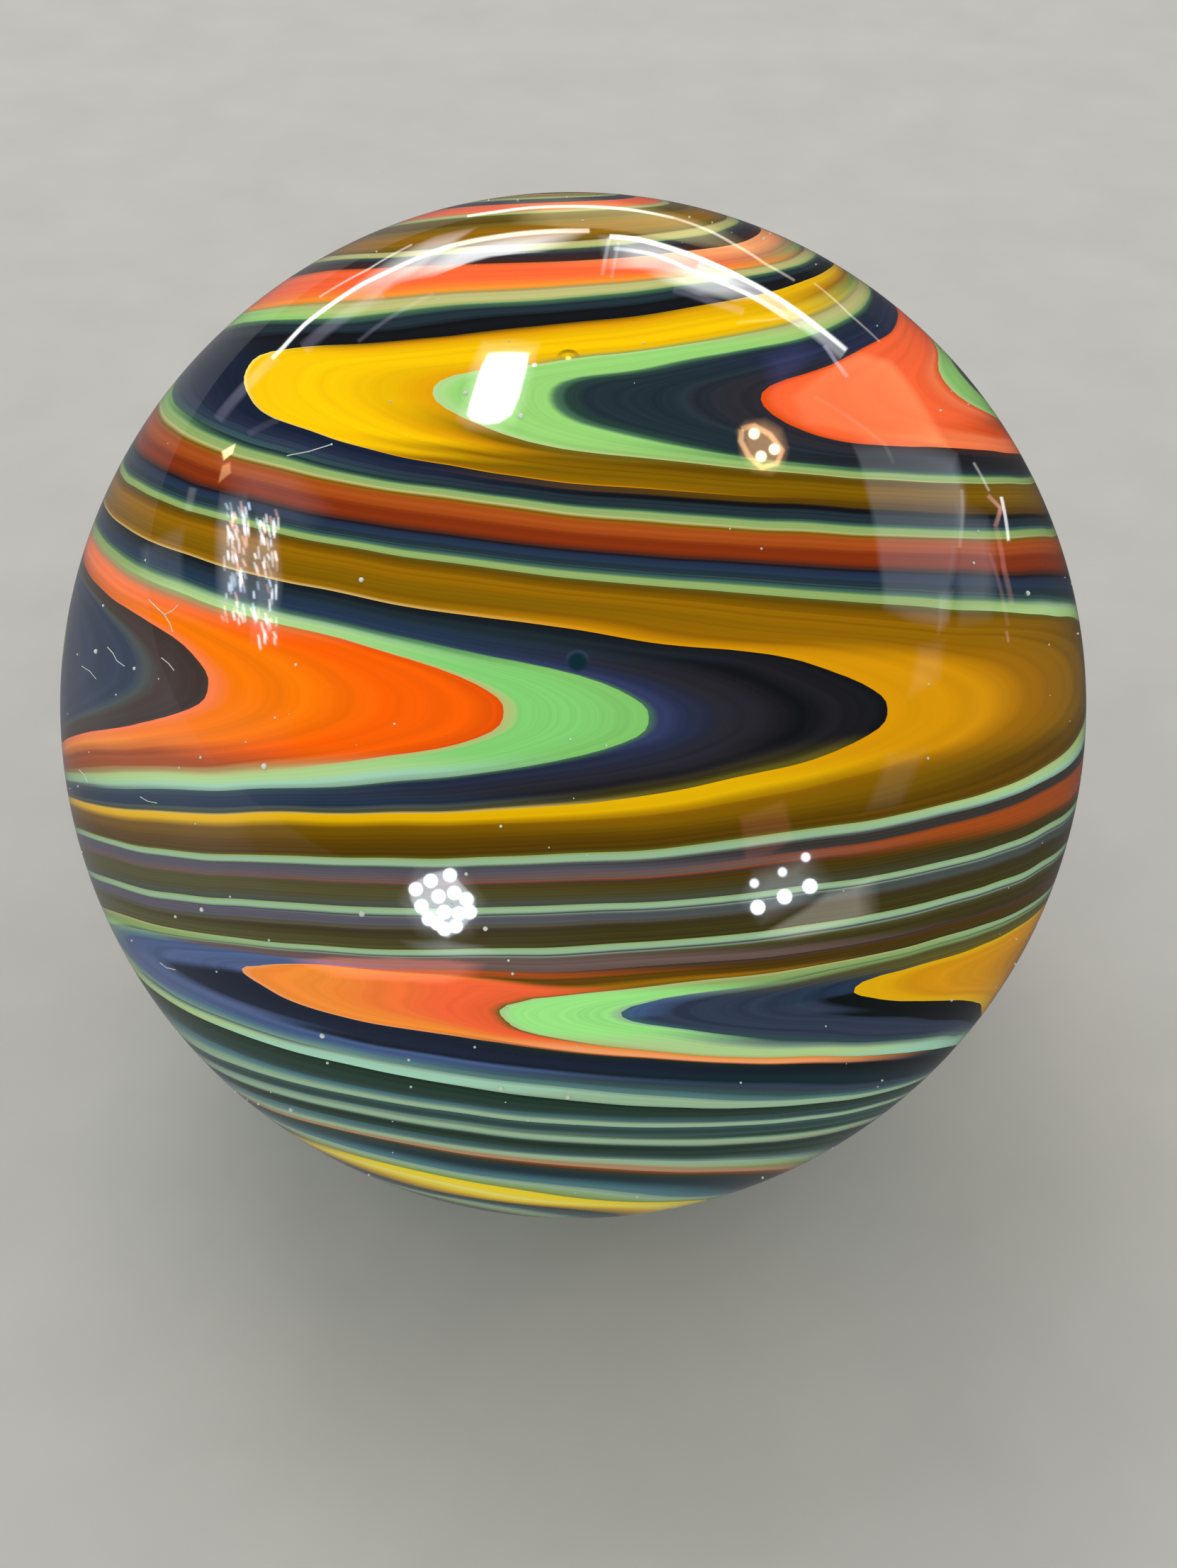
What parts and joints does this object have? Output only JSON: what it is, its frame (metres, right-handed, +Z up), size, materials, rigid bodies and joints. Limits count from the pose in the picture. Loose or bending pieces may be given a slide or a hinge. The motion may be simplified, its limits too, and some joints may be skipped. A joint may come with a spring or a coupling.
{
  "type": "glass marble",
  "caption": "Solid glass ball with bands of amber, green, orange and dark blue glass that swing back and forth round it in rounded switchbacks.",
  "frame": {"origin": "centre of the ball", "axes": "+Z up as the ball sits in the picture, -Y towards the viewer, +X to the viewer's right"},
  "size_m": [0.038, 0.038, 0.038],
  "materials": {
    "banded_glass": "fire-polished, high gloss; dark blue glass with switchback bands of amber, light green and orange glass"
  },
  "bodies": {
    "root": {"marble": "banded_glass"}
  },
  "joints": []
}
